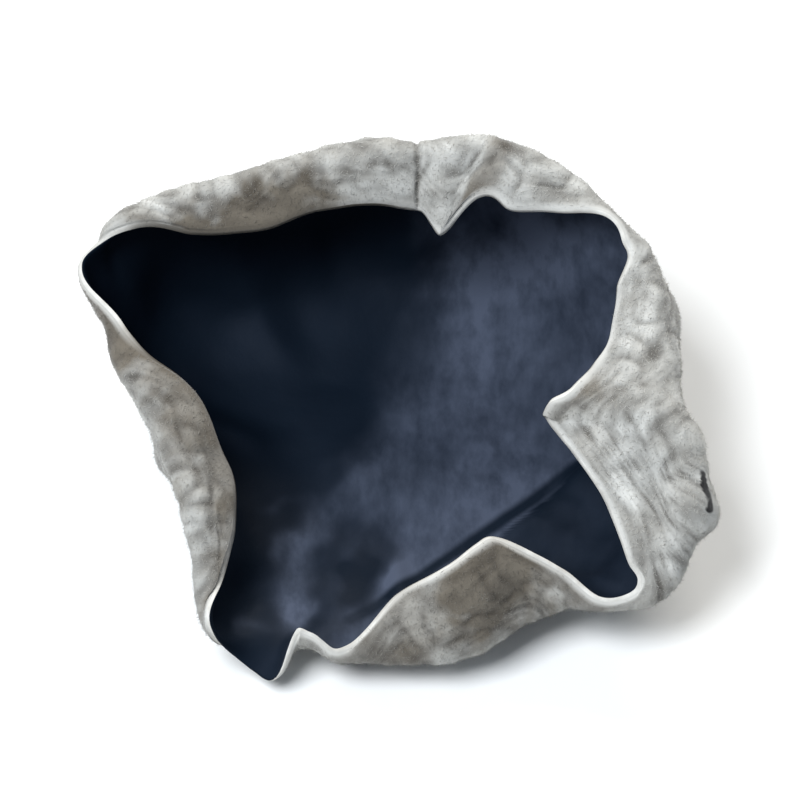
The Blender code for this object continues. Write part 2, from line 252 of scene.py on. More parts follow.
def section_of(station):
    """The wall's control points in one direction, from the hub out to the margin."""
    clock, sag, (belly, belly_z), (crown_turn, crown, crown_z), (lip_turn, lip, lip_z) = station
    foot_z = sag + FOOT_RISE * (belly_z - sag)
    flat_x, flat_y, _ = polar(clock, HUB_FLAT, 0)
    return [
        HUB,
        (HUB[0] + flat_x, HUB[1] + flat_y, HUB[2]),
        polar(clock, FLOOR_SHARE * belly, sag),
        polar(clock, FOOT_SHARE * belly, foot_z),
        polar(clock, belly, belly_z),
        polar(clock + crown_turn, crown, crown_z),
        polar(clock + lip_turn, lip, lip_z),
    ]


sections = np.array([section_of(s) for s in STATIONS])
print(len(STATIONS), "stations with", sections.shape[1], "points each")

# %% [markdown]
# ## Smooth curves through the sections
# A Hermite curve passes through every point that it is given, with a slope taken from the
# points on either side, so nothing has to be guessed about handles. Each ring of points is
# closed into a curve round the cup. Then, for each of 720 directions, one more curve runs
# from the hub to the lip, and is read at evenly spaced places. The result is a table of
# points by clock and by share of the way out.

# %% The table of the inner face
CLOCKS = 720  # directions in the table
STEPS = 161  # points along each direction
CURVE_STEPS = 40  # points on each span of the curves that they are read from


def hermite(p0, p1, m0, m1, t):
    """A cubic from p0 to p1 that leaves along m0 and arrives along m1."""
    return (
        (2 * t**3 - 3 * t**2 + 1) * p0
        + (t**3 - 2 * t**2 + t) * m0
        + (3 * t**2 - 2 * t**3) * p1
        + (t**3 - t**2) * m1
    )


def round_curve(clocks, ring, at):
    """A smooth closed curve through the ring's points, read at the given clocks."""
    knots = np.concatenate([[clocks[-1] - 360], clocks, clocks[:2] + 360])
    points = np.concatenate([ring[-1:], ring, ring[:2]])
    slopes = (points[2:] - points[:-2]) / (knots[2:] - knots[:-2])[:, None]
    at = (at - clocks[0]) % 360 + clocks[0]
    i = np.searchsorted(clocks, at, side="right")
    span = (knots[i + 1] - knots[i])[:, None]
    t = (at - knots[i])[:, None] / span
    return hermite(points[i], points[i + 1], slopes[i - 1] * span, slopes[i] * span, t)


def out_curves(points):
    """Smooth curves out from the hub, one for each direction, through its points."""
    spans = np.linalg.norm(np.diff(points, axis=1), axis=2)[:, :, None]
    chords = np.diff(points, axis=1) / spans
    before, after = spans[:, :-1], spans[:, 1:]
    inner = (chords[:, :-1] * after + chords[:, 1:] * before) / (before + after)
    level = chords[:, :1] * np.array([1, 1, 0])
    slopes = np.concatenate([level, inner, chords[:, -1:]], axis=1)
    t = np.linspace(0, 1, CURVE_STEPS, endpoint=False)[None, :, None]
    pieces = []
    for k in range(points.shape[1] - 1):
        span = spans[:, k, None]
        leave, arrive = slopes[:, k, None] * span, slopes[:, k + 1, None] * span
        pieces.append(hermite(points[:, k, None], points[:, k + 1, None], leave, arrive, t))
    return np.concatenate(pieces + [points[:, -1:]], axis=1)


def lengths_along(curves):
    """How far each point is along its curve."""
    steps = np.linalg.norm(np.diff(curves, axis=1), axis=2).cumsum(axis=1)
    return np.concatenate([np.zeros((len(curves), 1)), steps], axis=1)


def even_steps(curves):
    """The same curves with their points evenly spaced in length."""
    even = np.linspace(0, 1, STEPS)
    table = np.empty((len(curves), STEPS, 3))
    for row, curve, length in zip(table, curves, lengths_along(curves)):
        for axis in range(3):
            row[:, axis] = np.interp(even, length / length[-1], curve[:, axis])
    return table


station_clocks = np.array([s.clock for s in STATIONS], float)
clocks = np.arange(CLOCKS) * 360 / CLOCKS
shares = np.linspace(0, 1, STEPS)
rings = [round_curve(station_clocks, sections[:, k], clocks) for k in range(sections.shape[1])]
table = even_steps(out_curves(np.stack(rings, axis=1)))
print("walls from hub to lip, mm:", lengths_along(table)[:, -1].min().round(1), "to",
      lengths_along(table)[:, -1].max().round(1))

# %% [markdown]
# ## Margin, pleats and buckles
# Drying does three things to the plain bowl. The margin ends in small points and nicks. The
# wall creases along pleats that run out from the stub. And everything between them buckles,
# because the skin shrinks less than the flesh. Points and pleats are placed by their clock,
# as they are in the picture, and so is the small hook that stands out from the tongue's
# outer edge. The buckles are smooth noise, which is read at points in space and so needs no
# seam. Tight folds are stiff, so they hardly buckle.

# %% Margin, pleats and buckles
Flap = namedtuple("Flap", "clock half_width reach")  # a negative reach is a nick
FLAPS = [
    Flap(75, 10.0, 1.4),
    Flap(243, 2.5, 0.3),
    Flap(232, 4.0, 0.5),
    Flap(28, 5.0, -0.5),
]
Pleat = namedtuple("Pleat", "clock half_width depth start end")  # a negative depth stands out
PLEATS = [
    Pleat(69, 5.5, 0.28, 0.55, 1.0),
    Pleat(84, 4.0, 0.30, 0.35, 1.0),
    Pleat(106, 5.0, -0.35, 0.35, 0.8),
    Pleat(128, 6.0, 0.45, 0.25, 0.8),
    Pleat(167, 7.0, 0.60, 0.25, 0.9),
    Pleat(196, 5.0, -0.40, 0.45, 0.9),
    Pleat(247, 5.0, -0.30, 0.60, 1.0),
    Pleat(272, 6.0, 0.45, 0.35, 1.0),
    Pleat(356, 6.0, 0.50, 0.30, 0.8),
    Pleat(18, 5.0, -0.35, 0.35, 0.8),
    Pleat(40, 7.0, 0.45, 0.25, 0.8),
]
Bump = namedtuple("Bump", "clock share radius height")  # placed like the table, in mm
BUMPS = [Bump(335.5, 0.755, 0.9, 0.8), Bump(340, 0.715, 1.1, 0.25)]
# What is uneven strays either way: this far at most, back and forth over about this length, and
# as the random pattern of this number goes.
Uneven = namedtuple("Uneven", "most length pattern")
RAGGED = Uneven(0.25, 2.4, 0)  # how the margin wanders
RAGGED_STRETCH = (1, 1, 0.4)  # which draws the wander out upwards
MARGIN_PART = 0.8  # the share of the way out past which the wall moves with the margin
BUCKLE = 0.45  # how far the wall has buckled either way
BUCKLE_LENGTH = 5.6  # from one buckle to the next
BUCKLE_FROM = (0.12, 0.4)  # the shares of the way out where buckling starts and is full
FINE_BUCKLE = Uneven(0.5, BUCKLE_LENGTH / 2.1, 7)  # finer ones on those, as a share of them
PLEAT_ENDS = 0.2  # the share of the way out in which a pleat begins or fades
FOLD_RADIUS = 1.6  # folds tighter than this hardly buckle
SPREAD = np.hanning(19) / np.hanning(19).sum()  # how a fold's bend is spread along the wall


def smooth_step(low, high, value):
    """0 up to low and 1 from high on, with a smooth slope between them."""
    t = np.clip((value - low) / (high - low), 0, 1)
    return t * t * (3 - 2 * t)


def unit(vectors):
    return vectors / np.linalg.norm(vectors, axis=-1, keepdims=True)


def noise_at(points, length, pattern=0):
    """Smooth random values from -1 to 1, which change over the given length."""
    flat = ((points + pattern) / length).reshape(-1, 3)
    return np.array([noise.noise(Vector(p)) for p in flat]).reshape(points.shape[:-1])


def strays(points, uneven):
    """How far something uneven strays at each point."""
    return uneven.most * noise_at(points, uneven.length, uneven.pattern)


def clocks_from(clock, centre):
    """How far each direction is from the given one, in degrees either way."""
    return (clock - centre + 180) % 360 - 180


def normals_of(points):
    """Unit normals of the table, on the inner side of the wall."""
    around = np.roll(points, -1, axis=0) - np.roll(points, 1, axis=0)
    normals = np.cross(np.gradient(points, axis=1), around)
    normals[:, 0] = (0, 0, 1)
    return unit(normals)


def margin_reach(points):
    """How much further the margin reaches in each direction."""
    reach = strays(points[:, -1] * RAGGED_STRETCH, RAGGED)
    for flap in FLAPS:
        near = np.clip(1 - np.abs(clocks_from(clocks, flap.clock)) / flap.half_width, 0, 1)
        reach += flap.reach * smooth_step(0, 1, near)
    return reach


def bend_of(points):
    """How sharply each curve bends on its way out, in radians per mm."""
    step = np.linalg.norm(np.diff(points, axis=1), axis=2).mean(axis=1)
    headings = unit(np.gradient(points, axis=1))
    return np.linalg.norm(np.gradient(headings, axis=1), axis=2) / step[:, None]


def wall_push(points):
    """How far the wall is pushed inwards at each point of the table."""
    rough = noise_at(points, BUCKLE_LENGTH) + strays(points, FINE_BUCKLE)
    push = BUCKLE * rough * smooth_step(*BUCKLE_FROM, shares)
    for pleat in PLEATS:
        across = np.exp(-((clocks_from(clocks, pleat.clock) / pleat.half_width) ** 2))
        begins = smooth_step(pleat.start, pleat.start + PLEAT_ENDS, shares)
        fades = smooth_step(pleat.end, pleat.end + PLEAT_ENDS, shares)
        push += pleat.depth * across[:, None] * (begins * (1 - fades))[None, :]
    bends = np.stack([np.convolve(row, SPREAD, "same") for row in bend_of(points)])
    push = push / (1 + (FOLD_RADIUS * bends) ** 2)
    for bump in BUMPS:
        middle = points[round(bump.clock * CLOCKS / 360), round(bump.share * (STEPS - 1))]
        away = np.linalg.norm(points - middle, axis=2)
        push -= bump.height * np.exp(-((away / bump.radius) ** 2))
    return push


reach = margin_reach(table)[:, None] * smooth_step(MARGIN_PART, 1, shares)[None, :]
table = table + unit(np.gradient(table, axis=1)) * reach[:, :, None]
table = table + normals_of(table) * wall_push(table)[:, :, None]
print("the inner face rises to", table[:, :, 2].max().round(1), "mm")

# %% [markdown]
# ## A square sheet laid on the cup
# A mesh made straight from the table would have a pole of tiny triangles at the hub. A square
# grid has none. Each of its points is read as a direction and a share of the way out, so its
# middle lands on the hub and its four sides become the margin, and the rows lie closer
# together towards the margin, where the detail is. Beside its place, each point also gets
# its distance from the margin and the wall's normal, which the next cells need.

# %% The sheet
GRID = 216  # squares along one side
MARGIN_CROWDING = 0.45  # how much closer together the rows are at the margin
TURN = -20  # degrees, which keeps the sheet's corners off the folds


def disc_of(square):
    """Each point of a square sheet as a clock and a share of the way out, with no seam."""
    x, y = square[:, 0], square[:, 1]
    wide = np.abs(x) > np.abs(y)
    out = np.where(wide, np.abs(x), np.abs(y))
    safe = np.where(out > 1e-9, out, 1)
    clock = np.where(wide, 45 * y / safe * np.sign(x), (90 - 45 * x / safe) * np.sign(y))
    clock = np.where(wide & (x < 0), clock + 180, clock)
    share = (1 + MARGIN_CROWDING) * out - MARGIN_CROWDING * out**2
    return (clock + TURN) % 360, share


def read(values, clock, share):
    """Values of the table at any clock and share, each between its four nearest entries."""
    row = clock / 360 * len(values)
    column = share * (values.shape[1] - 1)
    i = np.floor(row).astype(int)
    j = np.minimum(np.floor(column).astype(int), values.shape[1] - 2)
    a, b = (row - i)[:, None], (column - j)[:, None]
    i, after = i % len(values), (i + 1) % len(values)
    near = values[i, j] * (1 - a) + values[after, j] * a
    far = values[i, j + 1] * (1 - a) + values[after, j + 1] * a
    return near * (1 - b) + far * b


sheet = bmesh.new()
bmesh.ops.create_grid(sheet, x_segments=GRID, y_segments=GRID, size=1.0)
square = np.array([v.co for v in sheet.verts])
clock, share = disc_of(square)
gone = lengths_along(table)
left = gone[:, -1:] - gone
known = read(np.concatenate([table, normals_of(table), left[:, :, None]], axis=2), clock, share)
places, inwards, to_margin = known[:, :3], unit(known[:, 3:6]), known[:, 6]
print(len(places), "points,", round(float(to_margin.max()), 1), "mm from hub to margin")

# %% [markdown]
# ## The flesh and its fine relief
# The flesh is thickest down through the stub and thins to half a millimetre at the margin.
# Its back carries all the relief that a finger would feel. Round the stub it is drawn into
# radial puckers. Over the wall it is crumpled, and towards the margin it is covered with
# fine wrinkles that follow the edge, less than a millimetre apart, like a fingerprint. All
# of this is worked out as thickness, because it lies on the back and the black face stays
# smooth. Noise that is stretched along the margin gives wrinkles that run with it, and
# noise stretched outwards gives puckers.

# %% Flesh and fine relief
WALL = 0.75  # the dried flesh halfway out
MARGIN_WALL = 0.5  # at the margin
STUB_WALL = 2.8  # down through the stub
STUB_RADIUS = (1.7, 3.9)  # from the hub, where the stub starts to taper and where it ends
THINNING = 0.6  # the share of the way out where the wall starts to thin
# A name that ends in FROM or TO has two shares of the way out: where it starts and is full, or
# where it is last full and ends. A WANDER is how a thing strays from its straight course.
RIDGE = 0.17  # how high the large wrinkles stand
RIDGE_LENGTH = 3.4  # from one to the next
RIDGE_FROM = (0.15, 0.3)
CRUMPLE = 0.04  # how high the small wrinkles stand
CRUMPLE_LENGTH = 1.1
PRINT = 0.025  # how high the fingerprint wrinkles stand
PRINT_ACROSS = 0.42  # half way from one to the next
PRINT_ALONG = 1.9  # how long they run
PRINT_FROM = (0.3, 0.55)
PRINT_WANDER = Uneven(0.5, 2.6, 31)
PUCKER = 0.16  # how high the puckers round the stub stand
PUCKER_COUNT = 34  # about how many there are all round
PUCKER_BREAKS = 3  # about how often each breaks off on its way out
PUCKER_TO = (0.35, 0.62)
PUCKER_WANDER = Uneven(0.12, 3.0, 11)  # in radians, over mm
SMALL_FROM = (0.16, 0.3)  # for all the small relief
SMALL_EDGE = (0.15, 1.6)  # from the margin, where the small relief starts and is full
EDGE_ROUND = 0.9  # how far in the margin's edge starts to thin
EDGE_LEFT = 0.45  # the share of its thickness that is left at the very edge
CREASE_CLOCK = 84.5  # the fold in the back
CREASE_HALF_WIDTH = 1.0  # degrees
CREASE_DEPTH = 0.20
CREASE_FROM = (0.6, 0.8)
CREASE_WANDER = Uneven(1.5, 1.6, 23)  # in degrees, over mm


def ridged(values):
    """Turns smooth noise into sharp-topped ridges, from -1 to 1."""
    return 1 - 4 * np.abs(values)


def creased(values):
    """Turns smooth noise into round swells with sharp creases between them, from -1 to 1."""
    return np.minimum(5 * np.abs(values), 2) - 1


def round_and_out(turns, radius, out):
    """Places on a cylinder, where noise has no seam round the cup: by radians, and by height."""
    return np.stack([radius * np.cos(turns), radius * np.sin(turns), out], axis=1)


def stub_flesh(points):
    """How much of the stub's thickness there is, from 1 over the hub to 0."""
    from_hub = np.linalg.norm((points - HUB)[:, :2], axis=1)
    return 1 - smooth_step(*STUB_RADIUS, from_hub)


def plain_thickness(points, share):
    """The flesh as the solid model has it."""
    thin = smooth_step(THINNING, 1, share)
    large = 0.5 * ridged(noise_at(points, RIDGE_LENGTH)) * smooth_step(*RIDGE_FROM, share)
    flesh = WALL + (MARGIN_WALL - WALL) * thin + (STUB_WALL - WALL) * stub_flesh(points)
    return flesh + RIDGE * large * (1 - thin)


def fine_relief(points, clock, share, to_margin):
    """The small wrinkles of the back, as extra thickness."""
    # Wrinkles along the margin: the third direction is the distance from it.
    across = (to_margin + strays(points, PRINT_WANDER)) / PRINT_ACROSS
    along = np.column_stack([points[:, :2] / PRINT_ALONG, across])
    print_lines = ridged(noise_at(along, 1.0)) * smooth_step(*PRINT_FROM, share)
    # Puckers: the first two directions go round the stub and the third goes out.
    turns = np.radians(clock) + strays(points, PUCKER_WANDER)
    out = round_and_out(turns, PUCKER_COUNT / (2 * math.pi), share * PUCKER_BREAKS)
    puckers = ridged(noise_at(out, 1.0)) * (1 - smooth_step(*PUCKER_TO, share))
    crumple = creased(noise_at(points, CRUMPLE_LENGTH, pattern=5))
    high = CRUMPLE * crumple + PRINT * print_lines + PUCKER * puckers
    edge = smooth_step(*SMALL_EDGE, to_margin)
    return smooth_step(*SMALL_FROM, share) * (edge * high - CRUMPLE - PRINT)


fine = fine_relief(places, clock, share, to_margin)
from_crease = clocks_from(clock, CREASE_CLOCK) + strays(places, CREASE_WANDER)
crease = np.exp(-((from_crease / CREASE_HALF_WIDTH) ** 2)) * smooth_step(*CREASE_FROM, share)
roundness = np.sqrt(1 - (1 - np.clip(to_margin / EDGE_ROUND, 0, 1)) ** 2)
full = plain_thickness(places, share) + fine - CREASE_DEPTH * crease
thickness = full * (EDGE_LEFT + (1 - EDGE_LEFT) * roundness)
print("flesh from", thickness.min().round(2), "to", thickness.max().round(2), "mm")

# %% [markdown]
# ## The black face
# The inner face is smooth to the touch, yet it isn't a perfect sheet: shrinking has left
# long shallow veins in it, and near the spout they stand like the folds of a curtain. They
# are a few hundredths of a millimetre deep, only enough to bend the highlights. One fold is
# much stronger. It runs straight across the floor from the front wall's peak to the tongue,
# and the floor behind it steps up a little.

# %% Veins of the black face
VEIN = 0.035  # how high the veins stand
VEIN_LENGTH = 2.3
VEIN_ROUND = 6  # about as many veins go out as a circle of this radius is long
VEIN_BREAKS = 2.2  # about how often each breaks off on its way out
VEIN_FROM = (0.3, 0.6)
VEIN_EDGE = 0.8  # from the margin, where the veins are full
GRAIN = Uneven(0.012, 0.7, 0)  # the finest that the mesh can carry
FOLD_LINE = ((4.1, -4.7), (8.6, -0.4))  # seen from above, in the stations' space
FOLD_REACH = (-2.5, 0, 7, 9)  # along it: where it starts, is full, is last full and ends
FOLD_STEP = 0.28  # how far the floor steps up past the fold
FOLD_RISE = (-0.1, 0.7)  # from the line, where that step starts and is full
FOLD_SINK = (1, 3.5)  # and where the floor starts to go down again and is down
FOLD_GROOVE = 0.10  # the depth of the groove along the line
FOLD_WIDTH = 0.4  # its half width
FOLD_WANDER = Uneven(0.15, 1.4, 0)

vein_points = round_and_out(np.radians(clock), VEIN_ROUND, share * VEIN_BREAKS)
veins = ridged(noise_at(vein_points, 1.0)) * 0.5 + noise_at(places, VEIN_LENGTH, pattern=3)
face = VEIN * veins * smooth_step(*VEIN_FROM, share) * smooth_step(0, VEIN_EDGE, to_margin)
face = face + strays(places, GRAIN)
fold_start, fold_end = np.array(FOLD_LINE)
fold_way = unit(fold_end - fold_start)
from_fold = places[:, :2] - fold_start
past_fold = from_fold @ (fold_way[1], -fold_way[0]) + strays(places, FOLD_WANDER)
down_fold = from_fold @ fold_way
in_reach = smooth_step(*FOLD_REACH[:2], down_fold) * (1 - smooth_step(*FOLD_REACH[2:], down_fold))
stepped = smooth_step(*FOLD_RISE, past_fold) * (1 - smooth_step(*FOLD_SINK, past_fold))
groove = np.exp(-((past_fold / FOLD_WIDTH) ** 2))
face = face + in_reach * (FOLD_STEP * stepped - FOLD_GROOVE * groove)
# The edge thins from both sides, so the black face gives way by half of what is missing.
face = face - 0.5 * (full - thickness)
surface = places + inwards * face[:, None]
print("veins up to", np.abs(face).max().round(2), "mm")

# %% [markdown]
# ## Where the black face has its bloom and painted light
# Spores have dusted the right of the cup, up to a soft ragged border that runs from the back
# down to the curl at the front. The same grey-blue also paints the soft reflection of the lamp
# on the back and the right, so it is partly real bloom and partly painted reflection. Past the
# fold it is mostly taken away, which paints the tongue's shadow there. Near the curl the dust
# has caught on the veins and shows as a few pale streaks, and in other places it was rubbed
# thinner. So the bloom is one smooth border across the cup, with streaks that add dust or take
# it away, and one that paints light under the back's margin, where the wall lies in shade.

# %% Bloom and painted light
# The bloom is partly real spore dust and partly painted reflection of the soft lamp.
BLOOM_AND_LIGHT_WAY = (0.96, -0.28)  # seen from above, the bloom grows this way across the cup
BLOOM_AND_LIGHT_SPAN = (-2.6, 2.4)  # mm, from none to all of it, measured that way
BORDER_WANDER = Uneven(1.2, 3.0, 41)
# Past the fold, the tongue's painted shadow takes most of the bloom and painted light away.
TONGUE_SHADOW = 0.9  # how much of it is missing past the fold
TONGUE_SHADOW_EDGE = 0.3  # mm past the fold, to where all of that is missing
MOST_BLOOM_AND_LIGHT = 1.6  # where streaks lie on one another
STREAK_WANDER = Uneven(0.9, 1.3, 43)  # as the share by which a streak is narrower or wider
# A streak runs between two points, seen from above and in mm. It adds dust, or takes it away.
Streak = namedtuple("Streak", "start end half_width strength")
STREAKS = [
    Streak((-5.0, -8.8), (-4.7, -4.6), 0.8, 0.8),
    Streak((-4.9, -8.9), (-4.7, -8.0), 0.6, 0.7),
    Streak((-4.7, -4.6), (-1.9, -1.2), 0.9, 0.55),
    Streak((-1.7, -7.8), (-0.9, -5.8), 1.0, -0.65),
    Streak((-0.3, -6.9), (0.3, -6.2), 0.6, 0.8),
    Streak((-0.5, -4.2), (1.5, -1.5), 1.6, -0.3),
    Streak((8.2, 7.0), (8.2, 0.5), 2.0, -0.4),
    # Painted light under the back's margin, where the wall lies in shade.
    Streak((3.5, 10.4), (7.5, 9.8), 1.5, 0.4),
]

border = places[:, :2] @ BLOOM_AND_LIGHT_WAY + strays(places, BORDER_WANDER)
# Painted shadow of the tongue, past the fold.
tongue_shade = TONGUE_SHADOW * in_reach * smooth_step(0, TONGUE_SHADOW_EDGE, past_fold)
bloomed = smooth_step(*BLOOM_AND_LIGHT_SPAN, border) * (1 - tongue_shade)
narrower = 1 + strays(places, STREAK_WANDER)
for streak in STREAKS:
    from_start, run = places[:, :2] - streak.start, np.subtract(streak.end, streak.start)
    ahead = np.clip(from_start @ run / (run @ run), 0, 1)
    off_line = np.linalg.norm(from_start - ahead[:, None] * run, axis=1) * narrower
    bloomed = bloomed + streak.strength * np.exp(-((off_line / streak.half_width) ** 2))
bloomed = np.clip(bloomed, 0, MOST_BLOOM_AND_LIGHT)
print("bloom on", round(float(bloomed.mean()) * 100), "% of the sheet")

# %% [markdown]
# ## Where the felt is stained or painted in shade
# The felt isn't one grey all over. It is pale where it was rubbed, and brown and dull in a few
# patches: in the hollow of the front wall, along the back's margin and on the inner side of the
# left strip. These are partly stains, where it stayed damp for longest, and partly painted
# shade, where those places lie in shadow. Each patch is given by its clock, like the pleats, and
# by how far it spreads from the margin. Noise breaks its outline up.

# %% Stains and painted shade
StainAndShade = namedtuple("StainAndShade", "clock half_width reach strength")  # the reach is in mm
# Each is partly a real stain and partly painted shade.
STAINS_AND_SHADE = [
    StainAndShade(66, 5, 3.0, 0.6),
    StainAndShade(126, 26, 2.6, 1.0),
    StainAndShade(168, 14, 2.8, 1.0),
    StainAndShade(198, 32, 2.8, 0.8),
    StainAndShade(270, 18, 6.0, 0.6),
    StainAndShade(296, 22, 6.5, 1.0),
    StainAndShade(348, 9, 2.2, 0.5),
]
# Below, a stain is one of these patches of stain and painted shade.
DARK_PATCH_TONGUES = Uneven(0.30, 1.5, 17)  # along a stain's outline, as a share of its reach
DARK_PATCH_FRAY = Uneven(0.18, 0.5, 19)  # how those are frayed, likewise
DARK_PATCH_FADE = (0.45, 1.15)  # the shares of its reach where a stain starts to fade and is gone
DULL_EDGES = [(120, 34), (196, 28)]  # clock and half width of where the edge isn't pale
DULL_FADE = (0.7, 1.1)  # the shares of that half width where it turns pale again
PALE_PATCHES = Uneven(0.7, 2.2, 29)  # how the edge's paleness changes, as a share of it

broken = strays(places, DARK_PATCH_TONGUES) + strays(places, DARK_PATCH_FRAY)
stained = np.zeros(len(places))
for dark_patch in STAINS_AND_SHADE:
    across = np.abs(clocks_from(clock, dark_patch.clock)) / dark_patch.half_width
    inner = np.hypot(across, to_margin / dark_patch.reach) + broken
    stained = np.maximum(stained, dark_patch.strength * (1 - smooth_step(*DARK_PATCH_FADE, inner)))
paleness = 1 + strays(places, PALE_PATCHES)
for dull_clock, half_width in DULL_EDGES:
    across = np.abs(clocks_from(clock, dull_clock)) / half_width
    paleness = paleness * smooth_step(*DULL_FADE, across)
paleness = np.clip(paleness, 0, 1)
print("stained:", round(float(stained.mean()) * 100), "% of the sheet")

# %% [markdown]
# ## From sheet to closed shell
# Solidify turns the sheet into a closed wall: the sheet stays as the black face, and a copy
# of it is moved outwards by each point's own thickness, which it reads from a vertex group.
# It can give the back and the rim materials of their own. Numbers that the materials need,
# such as the share of the way out and the height of the relief, are stored on the points
# first, because Solidify copies them to the back.

# %% The closed shell
SIDES = ["black_face", "felted_back", "torn_margin", "cut_flesh"]  # in the order of the slots


def finished_mesh(thing):
    """A plain mesh with the modifiers' work in it. The modifiers are then taken off."""
    evaluated = thing.evaluated_get(bpy.context.evaluated_depsgraph_get())
    mesh = bpy.data.meshes.new_from_object(evaluated)
    thing.modifiers.clear()
    return mesh


for vertex, place in zip(sheet.verts, surface - MIDDLE):
    vertex.co = place * MM
for poly in sheet.faces:
    poly.smooth = True
shell = object_from(sheet, "dried_wood_ear")

# The relief's height, lower in the back's crease, also paints highlight on the felt's tops and
# shade in its hollows.
relief = np.clip(1 + fine / (2 * (CRUMPLE + PRINT)), 0, 1)
marks = {
    "share": share,
    "to_margin": to_margin,
    "relief": relief - 0.5 * crease,
    "bloomed": bloomed,
    "stained": stained,
    "paleness": paleness,
    "sheet_x": square[:, 0],
    "sheet_y": square[:, 1],
}
for name, values in marks.items():
    layer = shell.data.attributes.new(name, "FLOAT", "POINT")
    layer.data.foreach_set("value", np.ascontiguousarray(values, np.float32))

for name in SIDES:
    shell.data.materials.append(bpy.data.materials.new(name))
group = shell.vertex_groups.new(name="flesh")
for index, share_of_stub in enumerate(thickness / STUB_WALL):
    group.add([index], float(share_of_stub), "REPLACE")
flesh = shell.modifiers.new("flesh", "SOLIDIFY")
flesh.thickness = STUB_WALL * MM
flesh.offset = -1
flesh.vertex_group = group.name
flesh.material_offset = SIDES.index("felted_back")
flesh.material_offset_rim = SIDES.index("torn_margin")
closed = finished_mesh(shell)
shell.vertex_groups.clear()
print(len(closed.polygons), "faces on the closed shell")

# %% [markdown]
# ## Cutting the stub, and a map of the skin
# The mushroom rests on the cut where its stub was taken off, so everything under the table's
# level is cut away and the hole is closed with one flat face, as a knife would leave it.
#
# The same cell lays out a map of the skin, for whoever bakes its colours into a picture: the
# black face fills the left half, the felted back the right half, and the thin rim runs round
# the black face. A square sheet makes that simple, because it is flat already.

# %% The cut and the map
MAP_GAP = 0.012  # left free round each part of the map
CUT_PATCH = 0.1  # the side of the map's corner that the cut has
CUT_REACH = 4.5 * MM  # half of what fits in that corner
ON_TABLE = 1e-7  # m, how near the table's level a point counts as on it

on_back = [float(i >= len(places)) for i in range(len(closed.vertices))]
closed.attributes.new("back", "FLOAT", "POINT").data.foreach_set("value", on_back)
bm = bmesh.new()
bm.from_mesh(closed)
bpy.data.meshes.remove(closed)
everything = bm.verts[:] + bm.edges[:] + bm.faces[:]
cut = bmesh.ops.bisect_plane(
    bm, geom=everything, dist=ON_TABLE, plane_co=(0, 0, 0), plane_no=(0, 0, 1), clear_inner=True
)
cut_edges = [e for e in cut["geom_cut"] if isinstance(e, bmesh.types.BMEdge)]
caps = bmesh.ops.holes_fill(bm, edges=cut_edges, sides=0)["faces"]
for cap in caps:
    cap.normal_update()
    if cap.normal.z > 0:
        cap.normal_flip()
    cap.material_index = SIDES.index("cut_flesh")
    cap.smooth = False
bmesh.ops.triangulate(bm, faces=caps, ngon_method="BEAUTY")

skin_map = bm.loops.layers.uv.new("OFBake")
sheet_x, sheet_y, back = (bm.verts.layers.float[n] for n in ("sheet_x", "sheet_y", "back"))
map_width = 0.25 - 2 * MAP_GAP
map_height = (1 - CUT_PATCH) / 2 - 2 * MAP_GAP
for poly in bm.faces:
    side = SIDES[poly.material_index]
    for loop in poly.loops:
        at = loop.vert
        # The rim's corners on the back lie a little further out on the map.
        further = 1 + (2 * MAP_GAP * at[back] if side == "torn_margin" else 0)
        u = 0.25 + map_width * at[sheet_x] * further + (0.5 if side == "felted_back" else 0)
        v = (1 + CUT_PATCH) / 2 + map_height * at[sheet_y] * further
        if side == "cut_flesh":
            u = CUT_PATCH / 2 * (1 + at.co.x / CUT_REACH)
            v = CUT_PATCH / 2 * (1 + at.co.y / CUT_REACH)
        loop[skin_map].uv = (u, v)
bm.to_mesh(shell.data)
bm.free()
print(len(cut_edges), "edges round the cut,", len(shell.data.polygons), "faces in all")

# %% [markdown]
# ## Material: the black face
# The inner face is the skin that bears the spores. It dries to a thin horny film, smooth but
# not polished, so it has a wide satin highlight rather than a mirror. Its colour isn't pure
# black but a blue-black, and where spores have dusted it, it has a soft grey-blue bloom. The
# same grey-blue is painted where the lamp's soft reflection falls on the back and the right.
# Dried skin has an index of refraction near 1.45. Where the bloom and painted light lie was
# worked out above; here noise breaks them up into specks, which are drawn out a little up the
# wall. Along a thin straight line beside the fold a shadow is painted dark. The mesh is too
# coarse for its edges, so it is drawn here, by each place's distance from the line as seen from
# above.

# %% Black face
SKIN_PATCH = 4.0 * MM  # from one faint patch to the next
SKIN_SPECK = 0.9 * MM  # from one speck of the bloom to the next
SKIN_GRAIN = 0.30 * MM  # the real grain is too fine to show, so it is drawn coarser
# The painted shadow line beside the fold.
SHADOW_LINE = ((-2.1, -9.3, 0), (8.9, -0.1, 0))  # mm, beside the fold, seen from above
SHADOW_LINE_WIDTH = (0.55, 0.1)  # mm from the line, where it starts to darken and is all dark


def open_material(name):
    """A material's node tree, its shader, and its object coordinates."""
    material = bpy.data.materials[name]
    material.use_nodes = True
    tree = material.node_tree
    return tree, tree.nodes["Principled BSDF"], add(tree, "ShaderNodeTexCoord").outputs["Object"]


def in_object(point):
    """One of the stations' points, in mm, where it lies in the finished object."""
    return (np.array(point) - MIDDLE) * MM


